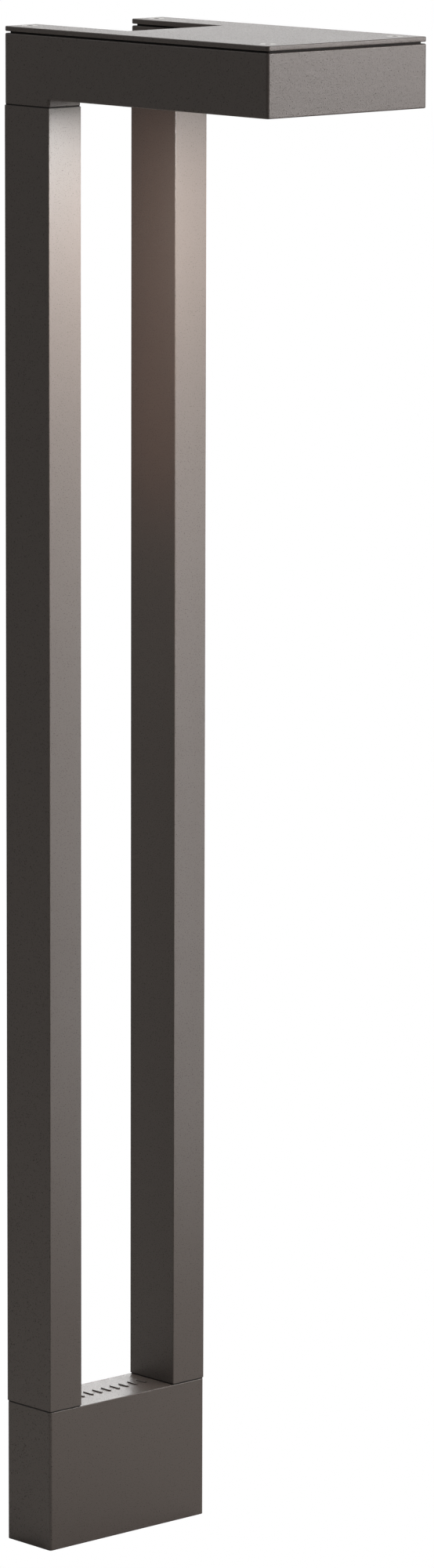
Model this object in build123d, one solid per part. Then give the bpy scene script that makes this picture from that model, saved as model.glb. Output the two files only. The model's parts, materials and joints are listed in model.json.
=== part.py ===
from build123d import *
import os

# Twin-post bollard light. A cantilevered downlight head stands on two rectangular tube posts, which stand
# on a hollow base that slides down over a bracket bolted to the ground.
# Millimetres. The origin is on the ground in the middle of the base, +Z is up, the head reaches out
# towards -Y, and X runs across the two posts.

# ---- driving dimensions ----
overall_height = 1067.0
overall_width = 146.0
head_length = 264.0
head_height = 48.0
arm_length = 94.0
post_width = 29.5
post_depth = 46.0
post_wall = 2.5
base_height = 100.0
base_wall = 5.0
base_top_wall = 8.0

cover_thickness = 3.5
cover_gap = 1.2
housing_wall = 5.0
housing_floor = 4.0
stub_height = 5.0
joint_gap = 0.8
spigot_height = 8.0

plan_radius = 2.0
base_cavity_radius = 3.0
head_edge_radius = 1.2
stub_edge_radius = 0.6
base_edge_radius = 1.0
post_corner_radius = 1.0
cover_edge_radius = 0.9

# ---- clearances ----
slide_clearance = 0.3
end_clearance = 0.5
thread_clearance = 0.05
spigot_clearance = 0.3
seat_clearance = 0.3

# ---- tie rods that clamp the posts between the base and the head ----
rod_y = -8.0
rod_radius = 4.0
rod_hole_radius = 4.5
rod_washer_radius = 8.0
rod_washer_thickness = 1.6
rod_nut_flats = 13.0
rod_nut_height = 6.5
rod_past_nut = 2.5

# ---- cover screws and set screws ----
cover_screw_radius = 3.0
cover_screw_head_radius = 6.0
cover_screw_length = 14.0
cover_screw_socket = 4.0
cover_screw_front_inset = 16.0
cover_screw_rear_inset = 10.0
cover_boss_radius = 6.5
cover_lug_height = 16.0
retainer_radius = 5.0
retainer_thickness = 1.0
set_screw_radius = 3.0
set_screw_recess = 0.4
set_screw_socket = 3.0
set_screw_spacing = 76.0
set_screw_height = 40.0

# ---- ground bracket ----
bracket_thickness = 4.0
bracket_height = 70.0
bracket_bend = 2.0
bracket_corner_cut = 8.0
anchor_spacing = 88.9
anchor_slot_width = 11.0
anchor_slot_length = 18.0
entry_hole_radius = 10.0
entry_bore_radius = 7.0
entry_flange_radius = 11.4
entry_flange_thickness = 1.5
entry_collar_height = 4.0
entry_collar_wall = 1.5

# ---- seals ----
cover_gasket_inset = 2.4
cover_gasket_width = 2.2
post_gasket_inset = 0.5

# ---- raised bars on top of the base ----
bar_count = 7
bar_pitch = 8.0
bar_length = 9.0
bar_width = 1.8
bar_height = 0.6

# ---- light engine, from the window up ----
window_centre_inset = 69.0
light_opening_x = 92.0
light_opening_y = 62.0
window_lap = 4.0
window_thickness = 3.0
window_gasket_thickness = 1.0
frame_border = 10.0
frame_thickness = 2.5
frame_screw_length = 10.0
optic_depth = 11.5
rim_border = 18.0
sink_lap = 14.0
sink_plate = 3.0
sink_screw_length = 9.0
fin_height = 16.0
fin_thickness = 1.6
fin_count = 13
board_margin = 4.0
board_thickness = 1.6
board_screw_radius = 1.25
board_screw_inset = 4.0
board_screw_depth = 2.2
chip_columns = 3
chip_rows = 2
chip_pitch_x = 26.0
chip_pitch_y = 26.0
chip_size = 5.0
chip_height = 1.2
optic_top_radius = 5.0
optic_bottom_radius = 10.5
optic_window_gap = 1.5
optic_plate = 1.5
wire_hole_radius = 3.5
wire_hole_inset_x = 20.0
wire_hole_inset_y = 5.0
small_screw_radius = 2.0
small_screw_head_radius = 3.6
small_screw_head_height = 2.2

# ---- driver ----
driver_length = 98.0
driver_depth = 34.0
driver_height = 24.0
driver_lead_inset = 4.0
driver_sink_gap = 9.0
driver_ear = 8.0
driver_ear_thickness = 3.0
driver_boss_radius = 4.0
driver_boss_height = 4.0

# ---- wiring ----
cable_y = 7.0
cable_radius = 3.0
cable_lift = 20.0
lead_radius = 1.0
lead_spacing = 2.6
grommet_radius = 5.5
grommet_flange_radius = 6.6
grommet_flange_thickness = 1.5
terminal_length = 36.0
terminal_depth = 16.0
terminal_height = 16.0
terminal_x = -18.0
terminal_poles = 3
surge_length = 34.0
surge_depth = 18.0
surge_height = 14.0
surge_ear = 8.0
surge_gap = 8.0
surge_y = -3.0
earth_gap = 6.5
lug_thickness = 1.0
lug_radius = 4.2
vent_radius = 6.0
vent_head_radius = 8.5
vent_head_height = 2.5
vent_nut_flats = 15.0
vent_nut_height = 3.0

# ---- places worked out from the dimensions above ----
sides = (-1, 1)
rear_y = post_depth / 2
front_y = rear_y - head_length
slot_front_y = rear_y - arm_length
post_x = (overall_width - post_width) / 2
slot_width = overall_width - 2 * post_width

cover_bottom_z = overall_height - cover_thickness
rim_z = cover_bottom_z - cover_gap
head_bottom_z = overall_height - head_height
floor_z = head_bottom_z + housing_floor
stub_bottom_z = head_bottom_z - stub_height
post_top_z = stub_bottom_z - joint_gap
post_bottom_z = base_height + joint_gap
ceiling_z = base_height - base_top_wall
base_inner_depth = post_depth - 2 * base_wall
base_inner_width = overall_width - 2 * base_wall
bracket_depth = base_inner_depth - 2 * slide_clearance
bracket_length = base_inner_width - 2 * (base_cavity_radius + end_clearance)
arm_inner_width = post_width - 2 * housing_wall

light_y = front_y + window_centre_inset
window_x = light_opening_x + 2 * window_lap
window_y = light_opening_y + 2 * window_lap
frame_x = window_x + 2 * frame_border
frame_y = window_y + 2 * frame_border
sink_x = light_opening_x + 2 * sink_lap
sink_y = light_opening_y + 2 * sink_lap
board_x = light_opening_x - 2 * board_margin
board_y = light_opening_y - 2 * board_margin
window_bottom_z = head_bottom_z + frame_thickness
window_top_z = window_bottom_z + window_thickness
ledge_z = window_top_z + window_gasket_thickness
sink_bottom_z = ledge_z + optic_depth
sink_top_z = sink_bottom_z + sink_plate
board_bottom_z = sink_bottom_z - board_thickness
optic_bottom_z = window_top_z + optic_window_gap
wire_x = -board_x / 2 + wire_hole_inset_x
wire_y = light_y + board_y / 2 - wire_hole_inset_y

driver_body_left_x = wire_x - driver_lead_inset
driver_x = driver_body_left_x - driver_ear + driver_length / 2
driver_y = light_y + sink_y / 2 + driver_sink_gap + driver_depth / 2
driver_ear_z = floor_z + driver_boss_height
driver_top_z = floor_z + driver_height

surge_x = terminal_x + terminal_length / 2 + surge_gap + surge_length / 2
terminal_bottom_z = ceiling_z - terminal_height
earth_place = (surge_x + surge_length / 2 + earth_gap, base_inner_depth / 2 - 2 * lug_radius)
vent_place = (post_x, (slot_front_y - rear_y) / 2)

rod_places = [(side * post_x, rod_y) for side in sides]
cover_screw_places = [
    (side * post_x, y)
    for side in sides
    for y in (rear_y - cover_screw_rear_inset, front_y + cover_screw_front_inset)
]
terminal_pitch = terminal_length / terminal_poles
terminal_screw_places = [(terminal_x + side * terminal_pitch / 2, cable_y) for side in sides]
surge_screw_places = [(surge_x + side * (surge_length - surge_ear) / 2, surge_y) for side in sides]
driver_screw_places = [
    (driver_x + side * (driver_length - driver_ear) / 2, driver_y + driver_depth / 4) for side in sides
]


def corners(x_size, y_size, inset=0.0):
    """The four places set in from the corners of a rectangle centred on the light opening."""
    return [(sx * (x_size / 2 - inset), light_y + sy * (y_size / 2 - inset)) for sx in sides for sy in sides]


frame_screw_places = corners((frame_x + window_x) / 2, (frame_y + window_y) / 2)
sink_screw_places = corners((sink_x + light_opening_x) / 2, (sink_y + light_opening_y) / 2)
board_screw_places = corners(board_x, board_y, board_screw_inset)
chip_places = [
    ((i - (chip_columns - 1) / 2) * chip_pitch_x, light_y + (j - (chip_rows - 1) / 2) * chip_pitch_y)
    for i in range(chip_columns)
    for j in range(chip_rows)
]


# ---- helpers ----
def block(x_size, y_size, z_low, z_high, x=0.0, y=0.0, radius=0.0):
    """An upright block centred on x, y, with rounded upright corners."""
    outline = RectangleRounded(x_size, y_size, radius) if radius else Rectangle(x_size, y_size)
    return Pos(x, y, z_low) * extrude(outline, z_high - z_low)


def upright(radius, z_low, z_high, x=0.0, y=0.0):
    """An upright round bar."""
    return Pos(x, y, z_low) * extrude(Circle(radius), z_high - z_low)


def hex_bar(flats, z_low, z_high, x=0.0, y=0.0):
    """An upright hexagonal bar, sized across its flats."""
    return Pos(x, y, z_low) * extrude(RegularPolygon(flats / 2, 6, major_radius=False), z_high - z_low)


def edges_at(solid, z):
    """The edges that lie flat at height z."""
    return [e for e in solid.edges() if abs(e.center().Z - z) < 1e-4 and e.bounding_box().size.Z < 1e-4]


def head_plate(inset, z_low, z_high):
    """A plate with the head's outline, inset all round: a rectangle with a slot between its two rear arms."""
    whole = Pos(0, (front_y + rear_y) / 2) * Rectangle(overall_width - 2 * inset, head_length - 2 * inset)
    slot_length = 2 * arm_length
    slot = Pos(0, slot_front_y - inset + slot_length / 2) * Rectangle(slot_width + 2 * inset, slot_length)
    outline = whole - slot
    return Pos(0, 0, z_low) * extrude(fillet(outline.vertices(), plan_radius), z_high - z_low)


def tube_along(points, radii, radius):
    """A round cable along straight runs joined by arcs."""
    route = FilletPolyline(*points, radius=radii)
    return sweep(Plane(origin=route @ 0, z_dir=route % 0) * Circle(radius), path=route)


def countersunk_screw(radius, head_radius, length, socket_flats):
    """A countersunk screw with a hexagon socket. Its head's top is at z 0 and its shank points down."""
    cone_height = head_radius - radius
    land = 0.3
    tip = 0.2 * radius
    outline = [(0, 0), (head_radius, 0), (head_radius, -land), (radius, -land - cone_height)]
    outline += [(radius, tip - length), (radius - tip, -length), (0, -length)]
    screw = revolve(Plane.XZ * make_face(Polyline(*outline, close=True)), axis=Axis.Z)
    return screw - hex_bar(socket_flats, -0.75 * cone_height, 1.0)


def countersink(radius, head_radius, depth):
    """The hole that a countersunk screw fits, from a face at z 0 down to depth."""
    cone_height = head_radius - radius
    land = 0.3
    hole = upright(head_radius, -land, 1.0) + upright(radius, -depth, 0)
    return hole + Pos(0, 0, -land - cone_height / 2) * Cone(radius, head_radius, cone_height)


def pan_screw(radius, head_radius, head_height, length):
    """A round-headed screw with a hexagon socket. Its head's underside is at z 0, its shank points down."""
    head = upright(head_radius, 0, head_height)
    head = fillet(edges_at(head, head_height), 0.45 * head_height)
    shank = upright(radius, -length, 0)
    shank = chamfer(edges_at(shank, -length), 0.3 * radius)
    return head + shank - hex_bar(radius, 0.4 * head_height, head_height + 1.0)


def small_screw(length):
    """The round-headed screw that fixes the gear."""
    radius = small_screw_radius - thread_clearance
    return pan_screw(radius, small_screw_head_radius, small_screw_head_height, length)


def save(name, *pieces):
    """Writes one node: a single piece, or a group of separate identical pieces."""
    solids = [solid for piece in pieces for solid in piece.solids()]
    export_step(Compound(children=solids), f"parts/{name}.step")


def save_at(name, piece, places, z):
    """Writes a node of identical pieces, one at each x, y place."""
    save(name, *[Pos(x, y, z) * piece for x, y in places])


# ---- ground bracket ----
def make_bracket():
    """A channel of bent steel: a foot with two anchor slots and a cable hole, and two guide flanges."""
    low = (Align.CENTER, Align.MIN)
    outer = Rectangle(bracket_depth, bracket_height, align=low)
    inner = Rectangle(bracket_depth - 2 * bracket_thickness, bracket_height, align=low)
    inner = Pos(0, bracket_thickness) * inner
    outer = fillet(outer.vertices().group_by(Axis.Y)[0], bracket_bend + bracket_thickness)
    inner = fillet(inner.vertices().group_by(Axis.Y)[0], bracket_bend)
    channel = extrude(Plane.YZ * (outer - inner), bracket_length / 2, both=True)
    for side in sides:
        end_x = side * bracket_length / 2
        near_x = end_x - side * bracket_corner_cut
        low_z = bracket_height - bracket_corner_cut
        corner = Polyline((end_x, bracket_height), (near_x, bracket_height), (end_x, low_z), close=True)
        corner = make_face(corner)
        channel -= extrude(Plane.XZ * corner, bracket_depth, both=True)
        slot = extrude(SlotOverall(anchor_slot_length, anchor_slot_width), 3 * bracket_thickness)
        channel -= Pos(side * anchor_spacing / 2, 0, -bracket_thickness) * slot
    channel -= upright(entry_hole_radius, -1, bracket_thickness + 1)
    save("mounting_bracket", channel)


def make_cable_bush():
    """A plastic bush that lines the bracket's cable hole."""
    flange_z = bracket_thickness + entry_flange_thickness
    collar_z = flange_z + entry_collar_height
    bush = upright(entry_hole_radius - thread_clearance, 0, bracket_thickness)
    bush += upright(entry_flange_radius, bracket_thickness, flange_z)
    bush += upright(entry_bore_radius + entry_collar_wall, flange_z, collar_z)
    save("cable_bush", bush - upright(entry_bore_radius, -1, collar_z + 1))


# ---- base ----
def spigot(x, z_low, z_high):
    """A block that locates a post by fitting inside it."""
    inset = 2 * (post_wall + spigot_clearance)
    return block(post_width - inset, post_depth - inset, z_low, z_high, x=x, radius=post_corner_radius)


def post_holes(solid, z_low, z_high):
    """The solid less the holes for the tie rods and for the cable in the left post."""
    for x, y in rod_places:
        solid -= upright(rod_hole_radius, z_low, z_high, x, y)
    return solid - upright(grommet_radius, z_low, z_high, -post_x, cable_y)


def make_base():
    """The hollow base: open underneath, with a spigot for each post and a row of raised bars on top."""
    body = block(overall_width, post_depth, 0, base_height, radius=plan_radius)
    body = fillet(edges_at(body, base_height) + edges_at(body, 0), base_edge_radius)
    body -= block(base_inner_width, base_inner_depth, -1, ceiling_z, radius=base_cavity_radius)
    for side in sides:
        body += spigot(side * post_x, ceiling_z + 1, base_height + spigot_height)
        hole = Cylinder(set_screw_radius, 3 * base_wall, rotation=(90, 0, 0))
        body -= Pos(side * set_screw_spacing / 2, rear_y, set_screw_height) * hole
    body = post_holes(body, ceiling_z - 1, base_height + spigot_height + 1)
    for x, y in terminal_screw_places + surge_screw_places + [earth_place]:
        body -= upright(small_screw_radius, ceiling_z - 1, base_height - base_top_wall / 4, x, y)
    bar = extrude(SlotOverall(bar_length, bar_width, rotation=90), bar_height + 1.0)
    for i in range(bar_count):
        body += Pos((i - (bar_count - 1) / 2) * bar_pitch, 0, base_height - 1.0) * bar
    save("base_housing", body)


def make_set_screws():
    """Two grub screws through the rear wall that clamp the base to the bracket's rear flange."""
    inner_y = bracket_depth / 2
    length = rear_y - set_screw_recess - inner_y
    screw = upright(set_screw_radius - thread_clearance, 0, length)
    screw = chamfer(edges_at(screw, 0), 0.2 * set_screw_radius)
    screw -= hex_bar(set_screw_socket, 0.5 * length, length + 1)
    places = [Pos(side * set_screw_spacing / 2, inner_y, set_screw_height) for side in sides]
    save("set_screws", *[place * Rot(-90, 0, 0) * screw for place in places])


# ---- wiring in the base ----
def make_terminal_block():
    """A terminal block under the base's top wall, its clamp screws facing down."""
    low_z = terminal_bottom_z
    body = block(terminal_length, terminal_depth, low_z, ceiling_z, terminal_x, cable_y, radius=1.0)
    clamp_radius = 2.0
    clamps = []
    for i in range(terminal_poles):
        x = terminal_x + (i - (terminal_poles - 1) / 2) * terminal_pitch
        for side in sides:
            y = cable_y + side * terminal_depth / 3.2
            body -= upright(clamp_radius + 0.2, low_z - 1, low_z + 6.0, x, y)
            clamp = upright(clamp_radius, low_z + 1.0, low_z + 6.0, x, y)
            clamps.append(clamp - block(3 * clamp_radius, 0.7, low_z, low_z + 2.2, x, y))
    for x, y in terminal_screw_places:
        body -= upright(small_screw_radius, low_z - 1, ceiling_z + 1, x, y)
        body -= upright(small_screw_head_radius + 0.2, low_z - 1, low_z + small_screw_head_height + 0.3, x, y)
    save("terminal_block", body)
    save("terminal_clamp_screws", *clamps)
    seat_z = low_z + small_screw_head_height + 0.3
    screw = Rot(180, 0, 0) * small_screw(ceiling_z - seat_z + base_top_wall / 2)
    save_at("terminal_screws", screw, terminal_screw_places, seat_z)


def make_surge_protector():
    """A potted surge protector with a screw ear at each end, and its two leads to the terminal block."""
    low_z = ceiling_z - surge_height
    body = block(surge_length - 2 * surge_ear, surge_depth, low_z, ceiling_z, surge_x, surge_y, radius=1.5)
    body = fillet(edges_at(body, low_z), 1.0)
    ear_thickness = 3.0
    body += block(surge_length, surge_ear, ceiling_z - ear_thickness, ceiling_z, surge_x, surge_y, radius=2.0)
    for x, y in surge_screw_places:
        body -= upright(small_screw_radius, ceiling_z - 2 * ear_thickness, ceiling_z + 1, x, y)
    save("surge_protector", body)
    screw = Rot(180, 0, 0) * small_screw(ear_thickness + base_top_wall / 2)
    save_at("surge_screws", screw, surge_screw_places, ceiling_z - ear_thickness)
    start_x = terminal_x + terminal_length / 2
    end_x = surge_x - surge_length / 2 + surge_ear
    lead = Cylinder(lead_radius, end_x - start_x, rotation=(0, 90, 0))
    places = [((start_x + end_x) / 2, cable_y - k * lead_spacing) for k in (1, 2)]
    save_at("surge_leads", lead, places, ceiling_z - surge_height / 2)


def make_earth():
    """The earth screw, its ring lug and the lead from the lug to the terminal block."""
    x, y = earth_place
    lug_z = ceiling_z - lug_thickness
    barrel_radius = 2.0
    barrel_length = 5.0
    barrel_x = x - 2.5 * lug_radius
    barrel_z = ceiling_z - barrel_radius
    lug = upright(lug_radius, lug_z, ceiling_z, x, y)
    lug += block(2 * lug_radius, 2 * barrel_radius - 0.4, lug_z, ceiling_z, x - 1.2 * lug_radius, y)
    lug += Pos(barrel_x, y, barrel_z) * Cylinder(barrel_radius, barrel_length, rotation=(0, 90, 0))
    save("earth_lug", lug - upright(small_screw_radius + 0.2, lug_z - 3, ceiling_z + 1, x, y))
    screw = Rot(180, 0, 0) * small_screw(lug_thickness + base_top_wall / 2)
    save("earth_screw", Pos(x, y, lug_z) * screw)
    start_x = barrel_x - barrel_length / 2
    end_x = terminal_x + terminal_length / 2
    end_z = ceiling_z - 0.55 * terminal_height
    run = (start_x - end_x) / 3
    points = [(start_x, y, barrel_z), (start_x - run, y, barrel_z)]
    points += [(end_x + run, y, end_z), (end_x, y, end_z)]
    save("earth_lead", tube_along(points, [8.0, 8.0], lead_radius))


# ---- posts ----
def make_posts():
    """Two rectangular tubes, with a thin seal at each end."""
    outer = RectangleRounded(post_width, post_depth, post_corner_radius)
    inner = Rectangle(post_width - 2 * post_wall, post_depth - 2 * post_wall)
    tube = extrude(outer - inner, post_top_z - post_bottom_z)
    for side, name in zip(sides, ("left_post", "right_post")):
        save(name, Pos(side * post_x, 0, post_bottom_z) * tube)
    seal = Rectangle(post_width - 2 * post_gasket_inset, post_depth - 2 * post_gasket_inset) - inner
    places = [(side * post_x, 0) for side in sides]
    save_at("post_foot_gaskets", extrude(seal, joint_gap), places, base_height)
    save_at("post_top_gaskets", extrude(seal, joint_gap), places, post_top_z)


def make_tie_rods():
    """A long rod through each post, with a washer and nut under the base's top and on the head's floor."""
    low_nut_z = ceiling_z - rod_washer_thickness - rod_nut_height
    high_nut_z = floor_z + rod_washer_thickness
    low_z = low_nut_z - rod_past_nut
    high_z = high_nut_z + rod_nut_height + rod_past_nut
    rod = upright(rod_radius - thread_clearance, low_z, high_z)
    rod = chamfer(edges_at(rod, low_z) + edges_at(rod, high_z), rod_radius / 4)
    washer = upright(rod_washer_radius, 0, rod_washer_thickness) - upright(rod_hole_radius, -1, 3)
    nut = hex_bar(rod_nut_flats, 0, rod_nut_height) & upright(0.56 * rod_nut_flats, 0, rod_nut_height)
    nut -= upright(rod_radius, -1, rod_nut_height + 1)
    save_at("tie_rods", rod, rod_places, 0)
    washer_heights = (ceiling_z - rod_washer_thickness, floor_z)
    save("tie_rod_washers", *[Pos(x, y, z) * washer for x, y in rod_places for z in washer_heights])
    save("tie_rod_nuts", *[Pos(x, y, z) * nut for x, y in rod_places for z in (low_nut_z, high_nut_z)])


# ---- main cable ----
def make_main_cable():
    """The cable from the terminal block up the left post and forward along the arm to the driver."""
    start_x = terminal_x - terminal_length / 2
    start_z = terminal_bottom_z + cable_radius + 0.5
    run_z = floor_z + cable_lift
    plug_y = driver_y - driver_depth / 6
    plug_z = floor_z + driver_height / 2
    points = [
        (start_x, cable_y, start_z),
        (-post_x, cable_y, start_z),
        (-post_x, cable_y, run_z),
        (-post_x, slot_front_y + arm_length / 3, run_z),
        (-post_x, plug_y, plug_z),
        (driver_body_left_x, plug_y, plug_z),
    ]
    low_radius = ceiling_z - grommet_flange_thickness - start_z
    high_radius = cable_lift - grommet_flange_thickness
    save("main_cable", tube_along(points, [low_radius, high_radius, 60.0, 20.0], cable_radius))


def make_grommet(name, z_low, z_high, flange_low):
    """A rubber seal round the cable, its flange against the face that the hole opens on."""
    ring = upright(grommet_radius - thread_clearance, z_low, z_high)
    ring += upright(grommet_flange_radius, flange_low, flange_low + grommet_flange_thickness)
    ring -= upright(cable_radius + thread_clearance, z_low - 5, z_high + 5)
    save(name, Pos(-post_x, cable_y, 0) * ring)


# ---- head ----
def make_head_housing():
    """The cast head: a tray with two rear arms, a stub and spigot over each post, a raised rim round the
    light opening, and the pillars and lugs that the cover and gear screw into."""
    body = head_plate(0, head_bottom_z, rim_z)
    body = fillet(edges_at(body, rim_z) + edges_at(body, head_bottom_z), head_edge_radius)
    for side in sides:
        stub = block(post_width, post_depth, stub_bottom_z, floor_z - 1, side * post_x, radius=plan_radius)
        body += fillet(edges_at(stub, stub_bottom_z), stub_edge_radius)
    body -= head_plate(housing_wall, floor_z, rim_z + 1)
    for side in sides:
        body += spigot(side * post_x, stub_bottom_z - spigot_height, floor_z - 1)
    body = post_holes(body, stub_bottom_z - spigot_height - 1, floor_z + 1)
    rim_x = light_opening_x + 2 * rim_border
    rim_y = light_opening_y + 2 * rim_border
    body += block(rim_x, rim_y, floor_z - 1, sink_bottom_z, y=light_y, radius=3.0)
    for x, y in driver_screw_places:
        body += upright(driver_boss_radius, floor_z - 1, driver_ear_z, x, y)
        body -= upright(small_screw_radius, floor_z - housing_floor / 2, driver_ear_z + 1, x, y)
    for x, y in cover_screw_places:
        if y > slot_front_y:
            lug_front = y - cover_boss_radius
            lug_depth = rear_y - housing_wall / 2 - lug_front
            lug = block(arm_inner_width + housing_wall, lug_depth, rim_z - cover_lug_height, rim_z)
            body += Pos(x, lug_front + lug_depth / 2, 0) * lug
        else:
            body += upright(cover_boss_radius, floor_z - 1, rim_z, x, y)
        body -= upright(cover_screw_radius, overall_height - cover_screw_length - 2, rim_z + 1, x, y)
    gap = 2 * seat_clearance
    body -= block(frame_x + gap, frame_y + gap, head_bottom_z - 1, window_bottom_z, y=light_y, radius=2.0)
    body -= block(window_x + gap, window_y + gap, head_bottom_z, ledge_z, y=light_y)
    body -= block(light_opening_x, light_opening_y, head_bottom_z, sink_bottom_z + 1, y=light_y)
    for x, y in frame_screw_places:
        body -= upright(small_screw_radius, head_bottom_z, head_bottom_z + frame_screw_length + 0.5, x, y)
    for x, y in sink_screw_places:
        body -= upright(small_screw_radius, sink_top_z - sink_screw_length - 0.5, sink_bottom_z + 1, x, y)
    body -= upright(vent_radius, head_bottom_z - 1, floor_z + 1, *vent_place)
    save("head_housing", body)


def make_cover():
    """The thin top plate over the head, its seal, its captive screws and their retaining rings."""
    cover = head_plate(0, cover_bottom_z, overall_height)
    cover = fillet(edges_at(cover, overall_height) + edges_at(cover, cover_bottom_z), cover_edge_radius)
    clear = thread_clearance
    hole = countersink(cover_screw_radius + clear, cover_screw_head_radius + clear, 2 * cover_thickness)
    for x, y in cover_screw_places:
        cover -= Pos(x, y, overall_height) * hole
    save("top_cover", cover)
    gasket = head_plate(cover_gasket_inset, rim_z, cover_bottom_z)
    gasket -= head_plate(cover_gasket_inset + cover_gasket_width, rim_z - 1, cover_bottom_z + 1)
    save("cover_gasket", gasket)
    shank = cover_screw_radius - clear
    screw = countersunk_screw(shank, cover_screw_head_radius - clear, cover_screw_length, cover_screw_socket)
    save_at("cover_screws", screw, cover_screw_places, overall_height)
    ring = upright(retainer_radius, 0, retainer_thickness) - upright(cover_screw_radius, -1, 3)
    save_at("cover_screw_retainers", ring, cover_screw_places, cover_bottom_z - retainer_thickness)


def make_window():
    """The frosted window, the gasket above it, and the frame and screws that hold it up from below."""
    save("light_window", block(window_x, window_y, window_bottom_z, window_top_z, y=light_y, radius=1.0))
    seal = block(window_x - 1.0, window_y - 1.0, window_top_z, ledge_z, y=light_y, radius=1.0)
    seal -= block(light_opening_x + 1.0, light_opening_y + 1.0, window_top_z - 1, ledge_z + 1, y=light_y)
    save("window_gasket", seal)
    frame = block(frame_x, frame_y, head_bottom_z, window_bottom_z, y=light_y, radius=2.0)
    frame = fillet(edges_at(frame, head_bottom_z), 0.6)
    bevel = 0.8
    low_z = head_bottom_z - 1
    opening = block(light_opening_x, light_opening_y, low_z, window_bottom_z + 1, y=light_y, radius=2.0)
    flare = block(light_opening_x + 2, light_opening_y + 2, low_z, head_bottom_z + bevel, y=light_y)
    frame -= opening + chamfer(edges_at(flare, head_bottom_z + bevel), bevel)
    clear = thread_clearance
    hole = Rot(180, 0, 0) * countersink(small_screw_radius + clear, small_screw_head_radius + clear, 5.0)
    shank = small_screw_radius - clear
    screw = countersunk_screw(shank, small_screw_head_radius - clear, frame_screw_length, shank)
    for x, y in frame_screw_places:
        frame -= Pos(x, y, head_bottom_z) * hole
    save("window_frame", frame)
    save_at("window_frame_screws", Rot(180, 0, 0) * screw, frame_screw_places, head_bottom_z)


def make_light_engine():
    """The finned heat sink on the rim, and under it the board, its chips and the moulded optics."""
    plate = block(sink_x, sink_y, sink_bottom_z, sink_top_z, y=light_y, radius=2.0)
    fin_pitch = (light_opening_x - fin_thickness) / (fin_count - 1)
    for i in range(fin_count):
        x = (i - (fin_count - 1) / 2) * fin_pitch
        plate += block(fin_thickness, sink_y, sink_top_z - 0.5, sink_top_z + fin_height, x, light_y)
    channel_rear = light_y + sink_y / 2 + 1
    channel_front = wire_y - 2 * wire_hole_radius
    channel_y = (channel_rear + channel_front) / 2
    channel_length = channel_rear - channel_front
    channel_top_z = sink_top_z + fin_height + 1
    plate -= block(4 * wire_hole_radius, channel_length, sink_top_z, channel_top_z, wire_x, channel_y)
    plate -= upright(wire_hole_radius, sink_bottom_z - 1, sink_top_z + 1, wire_x, wire_y)
    for x, y in sink_screw_places:
        plate -= upright(small_screw_radius + thread_clearance, sink_bottom_z - 1, sink_top_z + 1, x, y)
    for x, y in board_screw_places:
        plate -= upright(board_screw_radius, sink_bottom_z - 1, sink_bottom_z + board_screw_depth + 0.3, x, y)
    save("heat_sink", plate)
    save_at("heat_sink_screws", small_screw(sink_screw_length), sink_screw_places, sink_top_z)

    board = block(board_x, board_y, board_bottom_z, sink_bottom_z, y=light_y, radius=2.0)
    for x, y in board_screw_places:
        board -= upright(board_screw_radius + thread_clearance, board_bottom_z - 1, sink_bottom_z + 1, x, y)
    save("led_board", board)
    chip = block(chip_size, chip_size, -chip_height, 0, radius=0.6)
    save_at("led_chips", chip, chip_places, board_bottom_z)

    plate_top_z = optic_bottom_z + optic_plate
    plate = block(board_x - 2.0, board_y - 2.0, optic_bottom_z, plate_top_z, y=light_y, radius=2.0)
    cone_height = board_bottom_z - chip_height - 0.3 - optic_bottom_z
    cone = Cone(optic_bottom_radius, optic_top_radius, cone_height)
    for x, y in chip_places:
        plate += Pos(x, y, optic_bottom_z + cone_height / 2) * cone
    foot_radius = 3.4
    head_radius = 2.3
    head_height = 1.6
    for x, y in board_screw_places:
        plate += upright(foot_radius, optic_bottom_z, board_bottom_z, x, y)
        plate -= upright(board_screw_radius + thread_clearance, optic_bottom_z - 1, board_bottom_z + 1, x, y)
        plate -= upright(head_radius + 0.2, optic_bottom_z - 1, optic_bottom_z + head_height, x, y)
    save("optic_array", plate)
    seat_z = optic_bottom_z + head_height
    length = sink_bottom_z + board_screw_depth - seat_z
    screw = pan_screw(board_screw_radius - thread_clearance, head_radius, head_height, length)
    save_at("board_screws", Rot(180, 0, 0) * screw, board_screw_places, seat_z)


def make_driver():
    """The driver on its two bosses, its screws, and its leads down through the heat sink to the board."""
    body_length = driver_length - 2 * driver_ear
    ear_top_z = driver_ear_z + driver_ear_thickness
    body = block(body_length, driver_depth, floor_z, driver_top_z, driver_x, driver_y, radius=2.0)
    body = fillet(edges_at(body, driver_top_z), 1.5)
    body += block(driver_length, driver_depth, driver_ear_z, ear_top_z, driver_x, driver_y, radius=3.0)
    for x, y in driver_screw_places:
        body -= upright(small_screw_radius + thread_clearance, driver_ear_z - 1, ear_top_z + 1, x, y)
    save("led_driver", body)
    screw = small_screw(driver_ear_thickness + driver_boss_height)
    save_at("driver_screws", screw, driver_screw_places, ear_top_z)
    lead_z = driver_top_z - 3.0
    driver_front_y = driver_y - driver_depth / 2
    for side, name in zip(sides, ("red_led_lead", "black_led_lead")):
        x = wire_x + side * lead_spacing / 2
        points = [(x, driver_front_y, lead_z), (x, wire_y, lead_z), (x, wire_y, sink_bottom_z)]
        save(name, tube_along(points, [lead_z - sink_top_z], lead_radius))


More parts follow.
